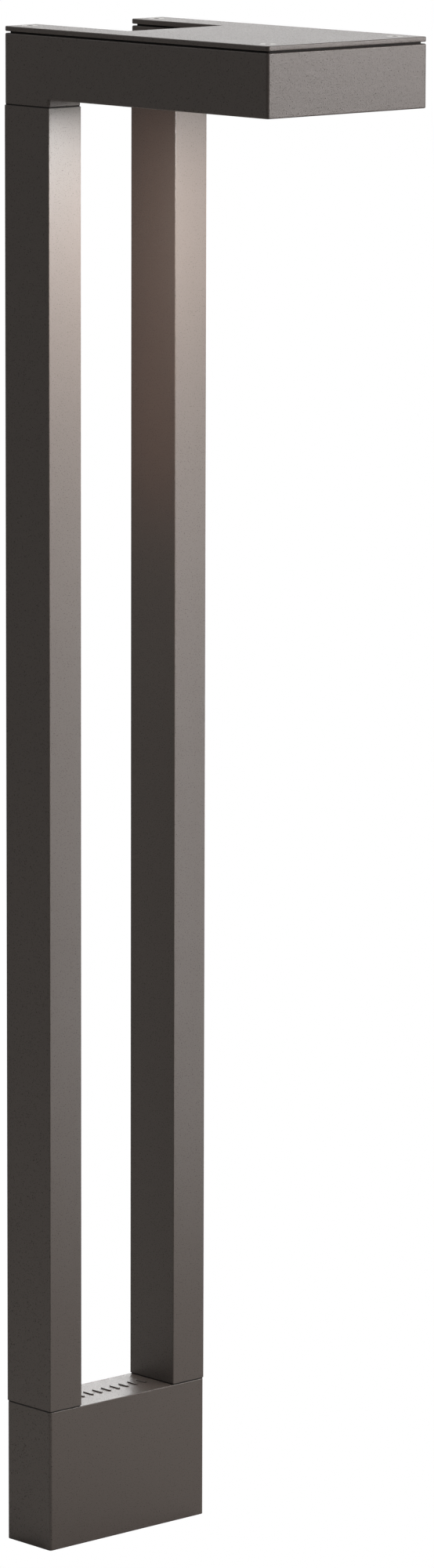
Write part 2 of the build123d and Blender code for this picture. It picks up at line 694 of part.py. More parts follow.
def make_vent():
    """The breather plug through the floor of the right arm, and its nut."""
    plug = upright(vent_head_radius, head_bottom_z - vent_head_height, head_bottom_z)
    plug = fillet(edges_at(plug, head_bottom_z - vent_head_height), 0.8)
    plug += upright(vent_radius - thread_clearance, head_bottom_z, floor_z + vent_nut_height + 1.0)
    save("breather_vent", Pos(*vent_place) * plug)
    nut = hex_bar(vent_nut_flats, floor_z, floor_z + vent_nut_height)
    nut -= upright(vent_radius, floor_z - 1, floor_z + vent_nut_height + 1)
    save("breather_nut", Pos(*vent_place) * nut)


os.makedirs("parts", exist_ok=True)
make_bracket()
make_cable_bush()
make_base()
make_set_screws()
make_terminal_block()
make_surge_protector()
make_earth()
make_posts()
make_tie_rods()
make_main_cable()
make_grommet("base_grommet", ceiling_z, base_height + spigot_height, ceiling_z - grommet_flange_thickness)
make_grommet("head_grommet", stub_bottom_z - spigot_height, floor_z, floor_z)
make_head_housing()
make_cover()
make_window()
make_light_engine()
make_driver()
make_vent()
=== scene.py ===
import bpy
import bmesh
import json
import math
from mathutils import Matrix, Vector


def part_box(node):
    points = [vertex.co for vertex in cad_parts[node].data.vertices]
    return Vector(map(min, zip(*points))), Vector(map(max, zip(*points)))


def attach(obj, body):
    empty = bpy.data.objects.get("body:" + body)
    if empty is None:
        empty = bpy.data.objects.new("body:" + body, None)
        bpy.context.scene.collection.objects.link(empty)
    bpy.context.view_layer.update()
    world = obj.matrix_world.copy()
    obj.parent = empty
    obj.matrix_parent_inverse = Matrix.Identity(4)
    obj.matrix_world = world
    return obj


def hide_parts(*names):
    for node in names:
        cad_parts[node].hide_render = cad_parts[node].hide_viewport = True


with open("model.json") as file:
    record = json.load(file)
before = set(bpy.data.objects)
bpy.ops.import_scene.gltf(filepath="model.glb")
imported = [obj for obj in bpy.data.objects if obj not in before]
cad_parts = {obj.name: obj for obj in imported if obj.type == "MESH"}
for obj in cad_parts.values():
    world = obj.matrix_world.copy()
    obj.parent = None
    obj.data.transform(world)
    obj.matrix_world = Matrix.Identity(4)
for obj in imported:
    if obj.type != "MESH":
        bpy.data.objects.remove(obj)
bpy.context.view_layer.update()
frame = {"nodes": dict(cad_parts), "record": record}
nodes = frame["nodes"]
slotOf = {part["node"]: part["material_slot"] for part in frame["record"]["subparts"]}
scene = bpy.context.scene
mm = 0.001
print("frame loaded,", len(nodes), "nodes")


class Wire:
    # a node socket that can be added, multiplied and so on
    def __init__(self, net, socket):
        self.net = net
        self.socket = socket

    def mathWith(self, operation, first, second):
        return self.net.node("ShaderNodeMath", {"operation": operation}, first, second)

    def __add__(self, other):
        return self.mathWith("ADD", self, other)

    def __sub__(self, other):
        return self.mathWith("SUBTRACT", self, other)

    def __rsub__(self, other):
        return self.mathWith("SUBTRACT", other, self)

    def __mul__(self, other):
        return self.mathWith("MULTIPLY", self, other)

    __radd__ = __add__
    __rmul__ = __mul__


class Net:
    # one node tree, with a single way to add any node
    def __init__(self, tree):
        self.tree = tree

    def node(self, kind, settings=None, *values, out=0, **named):
        made = self.tree.nodes.new(kind)
        for key, value in (settings or {}).items():
            setattr(made, key, value)
        pairs = [(made.inputs[i], v) for i, v in enumerate(values) if v is not None]
        pairs += [(made.inputs[k.replace("_", " ")], v) for k, v in named.items()]
        for socket, value in pairs:
            self.feed(socket, value)
        return Wire(self, made.outputs[out]) if made.outputs else None

    def feed(self, socket, value):
        if isinstance(value, Wire):
            self.tree.links.new(value.socket, socket)
        elif isinstance(value, tuple) and len(value) == 3 and socket.type == "RGBA":
            socket.default_value = (*value, 1)
        else:
            socket.default_value = value

    def place(self, stretch=(1.0, 1.0, 1.0)):
        # where the point is on the object, stretched for brushed or drawn grain
        here = self.node("ShaderNodeTexCoord", out=3)
        if stretch == (1.0, 1.0, 1.0):
            return here
        return self.node("ShaderNodeMapping", {}, Vector=here, Scale=stretch)

    def noise(self, scale, detail=2.0, roughness=0.5, stretch=(1.0, 1.0, 1.0)):
        return self.node("ShaderNodeTexNoise", {}, Vector=self.place(stretch), Scale=scale,
                         Detail=detail, Roughness=roughness)

    def ramp(self, factor, low, high):
        # 0 at low, 1 at high
        return self.node("ShaderNodeMapRange", {"clamp": True}, factor, low, high, 0.0, 1.0)

    def mix(self, factor, first, second):
        return self.node("ShaderNodeMix", {"data_type": "RGBA"}, factor, None, None, None, None, None,
                         first, second, out=2)

    def bump(self, height, strength, distance):
        return self.node("ShaderNodeBump", {}, Strength=strength, Distance=distance, Height=height)


def newFinish(name, build, **fixed):
    # a Principled material: constant sockets from fixed, varying ones from what build returns
    material = bpy.data.materials.new(name)
    material.use_nodes = True
    tree = material.node_tree
    shader = tree.nodes["Principled BSDF"]
    net = Net(tree)
    for key, value in (*fixed.items(), *build(net).items()):
        net.feed(shader.inputs[key.replace("_", " ")], value)
    return material


# the bronze powder coat on every outside casting and tube
powder = {
    "dark": (0.044, 0.0335, 0.0275),
    "light": (0.064, 0.050, 0.042),
    # the pit colour is painted shade: the pits are dented by the bump and also darkened here as if shaded
    "pitShadeColour": (0.012, 0.010, 0.009),
    "grain": 1300.0,                # grains to the metre
    "peel": 260.0,                  # soft orange peel
    "cloud": 7.0,                   # broad drift in tone
    "tones": (0.45, 0.2, 0.35),     # what grain, peel and cloud add to the colour
    "pitScale": 0.9,                # how dense the pits are beside the grain
    "pitStart": 0.385,
    "pitFull": 0.31,
    "pitShade": 0.5,
    "roughness": 0.43,
    "dulling": (0.3, 0.08, 0.45),   # what grain, cloud and pits add to the roughness
    "peelRise": 1.2,
    "pitDrop": 0.9,
    "relief": 0.13 * mm,
}


def buildPowder(net):
    grain = net.noise(powder["grain"], 3.0, 0.62)
    peel = net.noise(powder["peel"], 2.0, 0.5)
    cloud = net.noise(powder["cloud"], 3.0, 0.55)
    specks = net.noise(powder["grain"] * powder["pitScale"], 1.0, 0.6)
    pitsAndShade = net.ramp(specks, powder["pitStart"], powder["pitFull"])
    grainTone, peelTone, cloudTone = powder["tones"]
    tone = grain * grainTone + peel * peelTone + cloud * cloudTone
    # the pits are darkened towards the pit colour as painted shade in the pits; grain, peel and cloud are the
    # coat's own tone
    colour = net.mix(pitsAndShade * powder["pitShade"], net.mix(tone, powder["dark"], powder["light"]), powder["pitShadeColour"])
    grainDull, cloudDull, pitDull = powder["dulling"]
    rough = powder["roughness"] + (grain - 0.5) * grainDull + (cloud - 0.5) * cloudDull + pitsAndShade * pitDull
    height = grain + peel * powder["peelRise"] - pitsAndShade * powder["pitDrop"]
    return {"Base_Color": colour, "Roughness": rough, "Normal": net.bump(height, 0.25, powder["relief"])}


# moulded and rubber finishes: darkest and palest colour, how rough, and how fine their skin is
mouldings = {
    "seal_rubber": ((0.010, 0.010, 0.010), (0.022, 0.021, 0.020), 0.78, 900.0),
    "bush_black": ((0.012, 0.012, 0.013), (0.026, 0.026, 0.027), 0.48, 1400.0),
    "cable_black": ((0.009, 0.009, 0.010), (0.020, 0.020, 0.021), 0.62, 700.0),
    "gear_plastic": ((0.60, 0.60, 0.575), (0.70, 0.70, 0.675), 0.42, 1100.0),
    "potting_black": ((0.014, 0.014, 0.016), (0.034, 0.034, 0.037), 0.33, 320.0),
    "board_white": ((0.74, 0.75, 0.73), (0.82, 0.83, 0.81), 0.25, 420.0),
    "lead_red": ((0.38, 0.012, 0.010), (0.52, 0.022, 0.016), 0.38, 600.0),
    "lead_black": ((0.010, 0.010, 0.010), (0.020, 0.020, 0.020), 0.38, 600.0),
    "lead_green": ((0.045, 0.20, 0.028), (0.075, 0.27, 0.045), 0.38, 600.0),
}
mouldingWear = {
    "bloom": 45.0,
    "scuff": 160.0,
    "scuffStretch": (1.0, 0.15, 1.0),
    "scuffStart": 0.60,
    "scuffFull": 0.72,
    "scuffDull": 0.12,
    "relief": 0.08 * mm,
}


def buildMoulding(low, high, roughness, fineness):
    def build(net):
        skin = net.noise(fineness, 3.0, 0.6)
        bloom = net.noise(mouldingWear["bloom"], 3.0, 0.6)
        scuff = net.noise(mouldingWear["scuff"], 4.0, 0.7, mouldingWear["scuffStretch"])
        scuff = net.ramp(scuff, mouldingWear["scuffStart"], mouldingWear["scuffFull"])
        return {"Base_Color": net.mix(skin * 0.5 + bloom * 0.5, low, high),
                "Roughness": roughness + (skin - 0.5) * 0.2 + scuff * mouldingWear["scuffDull"],
                "Normal": net.bump(skin, 0.22, mouldingWear["relief"])}
    return build


# bare and plated metals: the grain's stretch gives the direction it was worked in
metals = {
    "stainless": {"low": (0.15, 0.135, 0.12), "high": (0.24, 0.22, 0.20), "rough": 0.36, "grain": 900.0,
                  "stretch": (1.0, 1.0, 0.08), "spangle": 0.0},
    "zinc_steel": {"low": (0.50, 0.51, 0.53), "high": (0.66, 0.67, 0.68), "rough": 0.36, "grain": 500.0,
                   "stretch": (1.0, 1.0, 1.0), "spangle": 130.0},
    "sink_aluminium": {"low": (0.66, 0.67, 0.68), "high": (0.76, 0.77, 0.78), "rough": 0.46, "grain": 1800.0,
                       "stretch": (1.0, 1.0, 1.0), "spangle": 0.0},
    "tinned_copper": {"low": (0.58, 0.56, 0.52), "high": (0.72, 0.70, 0.66), "rough": 0.30, "grain": 1200.0,
                      "stretch": (0.2, 1.0, 1.0), "spangle": 0.0},
}
metalWear = {"stain": 38.0, "stainShare": 0.65, "relief": 0.05 * mm}


def buildMetal(look):
    def build(net):
        grain = net.noise(look["grain"], 3.0, 0.6, look["stretch"])
        stain = net.noise(metalWear["stain"], 4.0, 0.6)
        tone = grain * 0.35 + stain * metalWear["stainShare"]
        if look["spangle"]:
            cells = net.node("ShaderNodeTexVoronoi", {"feature": "F1"}, Vector=net.place(),
                             Scale=look["spangle"], out=1)
            tone = tone * 0.5 + net.node("ShaderNodeSeparateColor", {}, cells) * 0.5
        rough = look["rough"] + (tone - 0.5) * 0.25
        return {"Base_Color": net.mix(tone, look["low"], look["high"]), "Roughness": rough,
                "Normal": net.bump(grain, 0.18, metalWear["relief"])}
    return build


def middles(node, count):
    # the middle of each of a node's separate solids, sorted, from its mesh's own islands
    net = bmesh.new()
    net.from_mesh(nodes[node].data)
    bmesh.ops.remove_doubles(net, verts=net.verts, dist=0.002 * mm)
    left = set(net.verts)
    found = []
    while left:
        island, edge = set(), [left.pop()]
        while edge:
            vert = edge.pop()
            island.add(vert)
            near = {e.other_vert(vert) for e in vert.link_edges} & left
            left -= near
            edge += near
        low = Vector([min(v.co[i] for v in island) for i in range(3)])
        high = Vector([max(v.co[i] for v in island) for i in range(3)])
        found.append((low + high) / 2)
    net.free()
    assert len(found) == count, (node, len(found))
    return sorted(found, key=lambda p: tuple(round(c, 4) for c in p))


chipPlaces = middles("led_chips", 6)

# the frosted window, lit from behind by the chips
glow = {
    "overChip": (1.0, 0.97, 0.92),
    "between": (0.52, 0.49, 0.45),
    "strength": 1.2,
    "near": 5 * mm,         # full brightness within this distance of a chip
    "far": 26 * mm,
    "blend": 4 * mm,        # how softly one chip's glow runs into the next
    "ripple": 1.5,          # mm that the frost moves a glow's edge by
    "frost": 1600.0,
    "body": (0.24, 0.235, 0.23),
    "relief": 0.05 * mm,
    "watts": 3.35,          # of the light that leaves the window
    "spread": 170,
    "lean": 6,              # degrees that the beam leans back towards the posts
    "gap": 0.5 * mm,
    "colour": (1.0, 0.99, 0.98),
}
optic = {"flow": 90.0, "roughness": 0.04, "relief": 0.1 * mm}
phosphor = {"low": (0.78, 0.52, 0.08), "high": (0.88, 0.68, 0.18), "grain": 2600.0, "relief": 0.04 * mm}


def buildWindow(net):
    frost = net.noise(glow["frost"], 2.0, 0.6)
    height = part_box("light_window")[0].z
    nearest = glow["far"]
    for spot in chipPlaces:
        offset = net.node("ShaderNodeVectorMath", {"operation": "DISTANCE"}, net.place(),
                          (spot.x, spot.y, height), out=1)
        nearest = net.node("ShaderNodeMath", {"operation": "SMOOTH_MIN"}, offset, nearest, glow["blend"])
    fade = net.node("ShaderNodeMapRange", {"interpolation_type": "SMOOTHSTEP"},
                    nearest + frost * glow["ripple"] * mm, glow["near"], glow["far"], 0.0, 1.0)
    return {"Emission_Color": net.mix(fade, glow["overChip"], glow["between"]),
            "Roughness": 0.45 + frost * 0.2, "Normal": net.bump(frost, 0.3, glow["relief"])}


def buildOptic(net):
    flow = net.noise(optic["flow"], 2.0, 0.5)
    return {"Roughness": optic["roughness"] + flow * 0.05, "Normal": net.bump(flow, 0.08, optic["relief"])}


def buildPhosphor(net):
    grain = net.noise(phosphor["grain"], 2.0, 0.6)
    return {"Base_Color": net.mix(grain, phosphor["low"], phosphor["high"]),
            "Roughness": 0.35 + grain * 0.2, "Normal": net.bump(grain, 0.2, phosphor["relief"])}


finishes = {
    "powder_coat": newFinish("bronzePowderCoat", buildPowder, IOR=1.75),
    "window_frosted": newFinish("litFrostedWindow", buildWindow, Base_Color=glow["body"],
                                Emission_Strength=glow["strength"]),
    "optic_clear": newFinish("clearOptic", buildOptic, Base_Color=(0.96, 0.97, 0.98), IOR=1.49,
                             Transmission_Weight=0.9),
    "chip_yellow": newFinish("ledPhosphor", buildPhosphor),
}
for slotName, look in mouldings.items():
    finishes[slotName] = newFinish(slotName + "_skin", buildMoulding(*look))
for slotName, look in metals.items():
    finishes[slotName] = newFinish(slotName + "_metal", buildMetal(look), Metallic=1.0)
print("finishes made:", len(finishes))

cameraSpec = {
    "place": (-3.2794, -3.6742, 1.3919),
    "yaw": 42.653,
    "pitch": -9.854,
    "roll": 0.163,
    "lens": 164.01,
}


def makeCamera():
    data = bpy.data.cameras.new("camera")
    data.lens = cameraSpec["lens"]
    data.sensor_width = 36
    data.clip_start = 0.1
    data.clip_end = 200
    camera = bpy.data.objects.new("camera", data)
    scene.collection.objects.link(camera)
    turn = Matrix.Rotation(math.radians(-cameraSpec["yaw"]), 4, "Z")
    turn = turn @ Matrix.Rotation(math.radians(90 + cameraSpec["pitch"]), 4, "X")
    turn = turn @ Matrix.Rotation(math.radians(cameraSpec["roll"]), 4, "Z")
    camera.matrix_world = Matrix.Translation(cameraSpec["place"]) @ turn
    scene.camera = camera
    scene.view_settings.view_transform = "Standard"


studio = {
    "floorColour": (0.36, 0.342, 0.324),
    "floorRadius": 60.0,
    "backdrop": (0.70, 0.71, 0.0),      # the way to the bright backdrop behind the light
    "backdropBright": 1.85,
    "roomDim": 0.21,
    "backdropStart": 0.15,
    "backdropFull": 0.95,
    "matte": ("overheadPanel", "warmBounce"),       # these leave no shine on edges
    # name: place, aimed at, width, height, watts, spread in degrees, colour
    "lights": {
        "frontPanel": ((1.45, -1.80, 1.35), (0, -0.15, 0.8), 1.1, 0.8, 9.2, 90, (1.0, 0.94, 0.92)),
        "overheadPanel": ((0.3, 0.5, 3.4), (0, 0, 0.5), 2.5, 2.5, 66.0, 180, (1.0, 0.98, 0.96)),
        "sideStrip": ((0.42, -0.46, 0.44), (0, 0, 0.44), 0.06, 0.64, 0.76, 150, (1.0, 0.97, 0.97)),
        "rearStrip": ((0.50, 0.60, 0.34), (0, 0, 0.12), 0.30, 0.10, 0.26, 120, (1.0, 1.0, 1.0)),
    },
}
# light thrown back from the left post's lit face on to the right post
bounce = ((-0.036, 0, 0.87), (0.1, 0, 0.87), 0.03, 0.28, 0.034, 110, (1.0, 0.40, 0.20))


def makeWorld():
    world = bpy.data.worlds.new("studio")
    world.use_nodes = True
    scene.world = world
    world.node_tree.nodes.clear()
    net = Net(world.node_tree)
    towards = net.node("ShaderNodeTexCoord", out=0)
    behind = net.node("ShaderNodeVectorMath", {"operation": "DOT_PRODUCT"}, towards, studio["backdrop"],
                      out=1)
    wall = net.ramp(behind, studio["backdropStart"], studio["backdropFull"])
    wall = studio["roomDim"] + wall * (studio["backdropBright"] - studio["roomDim"])
    toCamera = net.node("ShaderNodeLightPath", out=0)
    strength = toCamera + (1 - toCamera) * wall
    sky = net.node("ShaderNodeBackground", {}, Color=(1.0, 1.0, 1.0), Strength=strength)
    net.node("ShaderNodeOutputWorld", {}, sky)


def makeFloor():
    # a lit white sweep: pure white where the camera sees it, a pale board where light falls on it
    net = bmesh.new()
    bmesh.ops.create_circle(net, cap_ends=True, segments=96, radius=studio["floorRadius"])
    mesh = bpy.data.meshes.new("floor")
    net.to_mesh(mesh)
    net.free()
    floor = bpy.data.objects.new("floor", mesh)
    scene.collection.objects.link(floor)
    material = bpy.data.materials.new("whiteSweep")
    material.use_nodes = True
    material.node_tree.nodes.clear()
    paint = Net(material.node_tree)
    seen = paint.node("ShaderNodeEmission", {}, Color=(1.0, 1.0, 1.0), Strength=1.0)
    board = paint.node("ShaderNodeBsdfDiffuse", {}, Color=studio["floorColour"])
    toCamera = paint.node("ShaderNodeLightPath", out=0)
    surface = paint.node("ShaderNodeMixShader", {}, toCamera, board, seen)
    paint.node("ShaderNodeOutputMaterial", {}, surface)
    mesh.materials.append(material)


def addPanel(name, place, target, width, height, watts, spread, colour):
    data = bpy.data.lights.new(name, "AREA")
    data.shape = "RECTANGLE"
    data.size = width
    data.size_y = height
    data.energy = watts
    data.spread = math.radians(spread)
    data.color = colour
    light = bpy.data.objects.new(name, data)
    scene.collection.objects.link(light)
    light.location = place
    aim = Vector(target) - Vector(place)
    light.rotation_euler = aim.to_track_quat("-Z", "Y").to_euler()
    light.visible_camera = False
    light.visible_glossy = name not in studio["matte"]
    return light


makeCamera()
makeWorld()
makeFloor()
for panelName, panel in studio["lights"].items():
    addPanel(panelName, *panel)
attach(addPanel("warmBounce", *bounce), "lamp")
print("camera and studio set")


past = 1 * mm               # how far a cutter or a join runs past a face
weld = 0.002 * mm           # points closer than this are one
sliver = 0.001 * mm
leastBend = 0.05 * mm       # the tightest corner that an inset leaves


def boxCorners(low, high):
    # the corners of an upright block seen from above, anticlockwise
    places = ((low[0], low[1]), (high[0], low[1]), (high[0], high[1]), (low[0], high[1]))
    return [Vector(place) for place in places]


def boxAround(x, y, width, depth):
    return boxCorners((x - width / 2, y - depth / 2), (x + width / 2, y + depth / 2))


def directions(corners, i):
    # the ways into and out of corner i
    back = (corners[i] - corners[i - 1]).normalized()
    ahead = (corners[(i + 1) % len(corners)] - corners[i]).normalized()
    return back, ahead


def shrink(corners, inset):
    # square corners moved in from every side
    moved = []
    for i, here in enumerate(corners):
        back, ahead = directions(corners, i)
        moved.append(here + inset * Vector((-back.y - ahead.y, back.x + ahead.x)))
    return moved


def ring(corners, radius, height, inset=0.0, steps=4):
    # one closed outline with rounded corners, set in from its corners' outline
    points = []
    inner = shrink(corners, inset)
    for i, spot in enumerate(inner):
        back, ahead = directions(inner, i)
        outward = back.x * ahead.y - back.y * ahead.x > 0
        bend = max(radius - inset, leastBend) if outward else radius + inset
        centre = spot + (ahead - back) * bend
        for k in range(steps + 1):
            angle = math.pi / 2 * k / steps
            spotOnArc = centre - ahead * bend * math.cos(angle) + back * bend * math.sin(angle)
            points.append((spotOnArc.x, spotOnArc.y, height))
    return points


def circle(x, y, radius, height, count=32):
    turns = [2 * math.pi * k / count for k in range(count)]
    return [(x + radius * math.cos(a), y + radius * math.sin(a), height) for a in turns]


def hexagon(x, y, flats, height, count=24):
    # a hexagon with as many points as a circle, so that the two can be joined
    points = []
    for k in range(count):
        angle = 2 * math.pi * k / count
        radius = flats / 2 / math.cos((angle + math.pi / 6) % (math.pi / 3) - math.pi / 6)
        points.append((x + radius * math.cos(angle), y + radius * math.sin(angle), height))
    return points


def loft(net, rings, tube=False):
    # faces from each ring to the next, with a cap at both ends or, for a tube, a join of last to first
    loops = [[net.verts.new(point) for point in points] for points in rings]
    if tube:
        loops.append(loops[0])
    count = len(loops[0])
    for low, high in zip(loops, loops[1:]):
        for i in range(count):
            j = (i + 1) % count
            net.faces.new((low[i], low[j], high[j], high[i]))
    if not tube:
        net.faces.new(loops[0][::-1])
        net.faces.new(loops[-1])


def edgeProfile(low, high, lowEdge, highEdge, steps=4):
    # (inset, height) pairs up a side whose two edges are rounded
    turns = [math.pi / 2 * k / steps for k in range(steps + 1)]
    pairs = [(lowEdge * (1 - math.sin(a)), low + lowEdge * (1 - math.cos(a))) for a in turns]
    pairs += [(highEdge * (1 - math.cos(a)), high - highEdge * (1 - math.sin(a))) for a in turns]
    return [pair for i, pair in enumerate(pairs) if i == 0 or pair != pairs[i - 1]]


def addBlock(net, corners, radius, low, high, lowEdge=0.0, highEdge=0.0):
    loft(net, [ring(corners, radius, z, inset) for inset, z in edgeProfile(low, high, lowEdge, highEdge)])


def addRod(net, x, y, radius, low, high):
    loft(net, [circle(x, y, radius, low), circle(x, y, radius, high)])


def toMesh(net, name, sharpOver=32.0):
    # merged, facing outwards, smooth but for its sharp edges
    bmesh.ops.remove_doubles(net, verts=net.verts, dist=weld)
    bmesh.ops.dissolve_degenerate(net, edges=net.edges, dist=sliver)
    bmesh.ops.recalc_face_normals(net, faces=net.faces)
    for face in net.faces:
        face.smooth = True
    for edge in net.edges:
        edge.smooth = len(edge.link_faces) == 2 and edge.calc_face_angle() < math.radians(sharpOver)
    mesh = bpy.data.meshes.new(name)
    net.to_mesh(mesh)
    net.free()
    return mesh


def shaped(name, build):
    # the mesh that a drawing function makes
    net = bmesh.new()
    build(net)
    return toMesh(net, name)


def addThing(name, mesh):
    thing = bpy.data.objects.new(name, mesh)
    scene.collection.objects.link(thing)
    return thing


def evaluated(thing, *helpers):
    # the mesh that an object's modifiers give; the object and its helpers go
    made = bpy.data.meshes.new_from_object(thing.evaluated_get(bpy.context.evaluated_depsgraph_get()))
    for old in (thing, *helpers):
        bpy.data.objects.remove(old)
    return made


def machined(mesh, *jobs):
    # joins and cuts in order; a job is UNION or DIFFERENCE and what draws the shape that does it
    blank = addThing("blank", mesh)
    helpers = []
    for operation, draw in jobs:
        helpers.append(addThing("cutter", shaped("cutter", draw)))
        modifier = blank.modifiers.new("cut", "BOOLEAN")
        modifier.operation = operation
        modifier.solver = "EXACT"
        modifier.object = helpers[-1]
    net = bmesh.new()
    net.from_mesh(evaluated(blank, *helpers))
    return toMesh(net, mesh.name)


def mount(name, mesh, body, slotName, *replaced):
    # puts a finished mesh on its body in its finish
    piece = addThing(name, mesh)
    mesh.materials.clear()
    mesh.materials.append(finishes[slotName])
    shading = piece.modifiers.new("flatFaces", "WEIGHTED_NORMAL")
    shading.keep_sharp = True
    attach(piece, body)
    if replaced:
        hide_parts(*replaced)


def newTree(name, inputs):
    # a Geometry Nodes tree with named inputs, and the sockets that they come in by
    tree = bpy.data.node_groups.new(name, "GeometryNodeTree")
    tree.interface.new_socket("Geometry", in_out="INPUT", socket_type="NodeSocketGeometry")
    for label, kind in inputs.items():
        tree.interface.new_socket(label, in_out="INPUT", socket_type="NodeSocket" + kind)
    tree.interface.new_socket("Geometry", in_out="OUTPUT", socket_type="NodeSocketGeometry")
    net = Net(tree)
    entry = tree.nodes.new("NodeGroupInput")
    return net, {socket.name: Wire(net, socket) for socket in entry.outputs if socket.name}


def endTree(net, geometry, finish):
    solid = net.node("GeometryNodeRealizeInstances", {}, geometry)
    painted = net.node("GeometryNodeSetMaterial", {}, Geometry=solid, Material=finish)
    net.node("NodeGroupOutput", {}, painted)
    return net.tree


def fixingTree():
    # a copy of one fixing on every point, tilted to its face and turned at random about its own axis
    net, given = newTree("fixings", {"Fixing": "Object", "Tilt": "Rotation", "Turn Most": "Float",
                                     "Turn Seed": "Int", "Finish": "Material"})
    fixing = net.node("GeometryNodeObjectInfo", {}, given["Fixing"], out=4)
    copies = net.node("GeometryNodeInstanceOnPoints", {}, Points=given["Geometry"], Instance=fixing,
                      Rotation=given["Tilt"])
    turn = net.node("FunctionNodeRandomValue", {"data_type": "FLOAT"}, None, None, 0.0, given["Turn Most"],
                    None, None, None, None, given["Turn Seed"], out=1)
    turn = net.node("ShaderNodeCombineXYZ", {}, 0.0, 0.0, turn)
    copies = net.node("GeometryNodeRotateInstances", {}, Instances=copies, Rotation=turn)
    return endTree(net, copies, given["Finish"])


def rowTree():
    # copies of one piece in a straight row
    net, given = newTree("row", {"Piece": "Object", "Count": "Int", "Start": "Vector", "Pitch": "Vector",
                                 "Finish": "Material"})
    piece = net.node("GeometryNodeObjectInfo", {}, given["Piece"], out=4)
    line = net.node("GeometryNodeMeshLine", {}, Count=given["Count"], Start_Location=given["Start"],
                    Offset=given["Pitch"])
    copies = net.node("GeometryNodeInstanceOnPoints", {}, Points=line, Instance=piece)
    return endTree(net, copies, given["Finish"])


fixings = fixingTree()
row = rowTree()


def grown(name, tree, points, helper, **values):
    # the plain mesh that a tree grows from the given points and helper piece
    seed = bpy.data.meshes.new(name)
    seed.from_pydata(points, [], [])
    plant = addThing(name, seed)
    modifier = plant.modifiers.new(name, "NODES")
    modifier.node_group = tree
    labels = {item.name: item.identifier for item in tree.interface.items_tree if item.in_out == "INPUT"}
    for label, value in values.items():
        modifier[labels[label.replace("_", " ")]] = value
    made = evaluated(plant, helper)
    made.name = name
    return made


# what both sizes of screw share
screwForm = {
    "sides": 24,
    "threadDepth": 0.3,         # of the pitch
    "point": 0.6,               # of the shank
    "pointLength": 0.4,         # of the shank
    "ringsPerTurn": 6,
    "rim": 0.12 * mm,
    "mouth": 0.3 * mm,
    "mouthDepth": 0.15 * mm,
}


def addScrew(net, look):
    # a screw with a hexagon socket, its head's top at z 0 and its threaded shank pointing down
    count = screwForm["sides"]
    shank, head, length = look["shank"], look["head"], look["length"]
    pitch, depth = look["pitch"], look["pitch"] * screwForm["threadDepth"]
    headFoot = -look["land"] - (head - shank)
    threadLow = -length + screwForm["pointLength"] * shank
    rings = [circle(0, 0, shank * screwForm["point"], -length, count)]
    rings += [circle(0, 0, shank - depth, threadLow, count)]
    turnsPerRing = 1 / screwForm["ringsPerTurn"]
    ringTotal = int((headFoot - threadLow - pitch) / (pitch * turnsPerRing))
    for k in range(ringTotal):
        z = threadLow + (k + 1) * pitch * turnsPerRing
        points = []
        for i in range(count):
            phase = (k * turnsPerRing + i / count) % 1.0
            radius = shank - depth * abs(2 * phase - 1)
            angle = 2 * math.pi * i / count
            points.append((radius * math.cos(angle), radius * math.sin(angle), z))
        rings.append(points)
    rings += [circle(0, 0, shank, headFoot, count), circle(0, 0, head, -look["land"], count)]
    rim, socket = screwForm["rim"], look["socket"]
    rings += [circle(0, 0, head, -rim, count), circle(0, 0, head - rim, 0, count)]
    rings += [hexagon(0, 0, socket + screwForm["mouth"], 0, count)]
    rings += [hexagon(0, 0, socket, -deep, count) for deep in (screwForm["mouthDepth"], look["socketDepth"])]
    loft(net, rings)


def screwSet(name, body, slotName, look, places, tilt, seed, node):
    template = addThing("screwTemplate", shaped("screwTemplate", lambda net: addScrew(net, look)))
    mesh = grown(name, fixings, places, template, Fixing=template, Tilt=tilt, Turn_Most=2 * math.pi,
                 Turn_Seed=seed, Finish=finishes[slotName])
    net = bmesh.new()
    net.from_mesh(mesh)
    mount(name, toMesh(net, name), body, slotName, node)


# what the frame says about the main pieces
coverLow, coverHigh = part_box("top_cover")
postLow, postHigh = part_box("left_post")
gasketLow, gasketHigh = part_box("cover_gasket")
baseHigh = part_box("post_foot_gaskets")[0].z
postX = (postLow.x + postHigh.x) / 2
postWidth = postHigh.x - postLow.x
postDepth = postHigh.y - postLow.y
sides = (-1, 1)

head = {
    "height": 48 * mm,
    "armLength": 94 * mm,
    "corner": 2 * mm,
    "edge": 0.9 * mm,
    "wall": 5 * mm,
    "floor": 4 * mm,
    "stubEdge": 0.6 * mm,
    "rimBorder": 18 * mm,
    "lug": 16 * mm,
    "boss": 6.5 * mm,
    "rodY": -8 * mm,
    "rodHole": 4.5 * mm,
    "cableHole": 5.5 * mm,
    "screwHole": 2 * mm,
    "ventHole": 6 * mm,
    "coverHoleDepth": 16 * mm,
    "frameHoleDepth": 10.5 * mm,
    "sinkHoleDepth": 6.5 * mm,
    "driverHoleDepth": 2 * mm,
    "driverBoss": 4 * mm,
    "lugCorner": 0.2 * mm,
    "rimCorner": 3 * mm,
    "rimEdge": 0.4 * mm,
    "hollowEdge": 0.8 * mm,
    "seat": 0.3 * mm,
    "seatCorner": 1 * mm,
    "throatCorner": 0.5 * mm,
}
headLow = coverHigh.z - head["height"]
floorTop = headLow + head["floor"]
rimTop = gasketLow.z
slotX = postX + postWidth / 2           # the left side of the slot between the arms
slotY = coverHigh.y - head["armLength"]
headOutline = [Vector(p) for p in (
    (coverLow.x, coverLow.y), (coverHigh.x, coverLow.y), (coverHigh.x, coverHigh.y), (-slotX, coverHigh.y),
    (-slotX, slotY), (slotX, slotY), (slotX, coverHigh.y), (coverLow.x, coverHigh.y))]


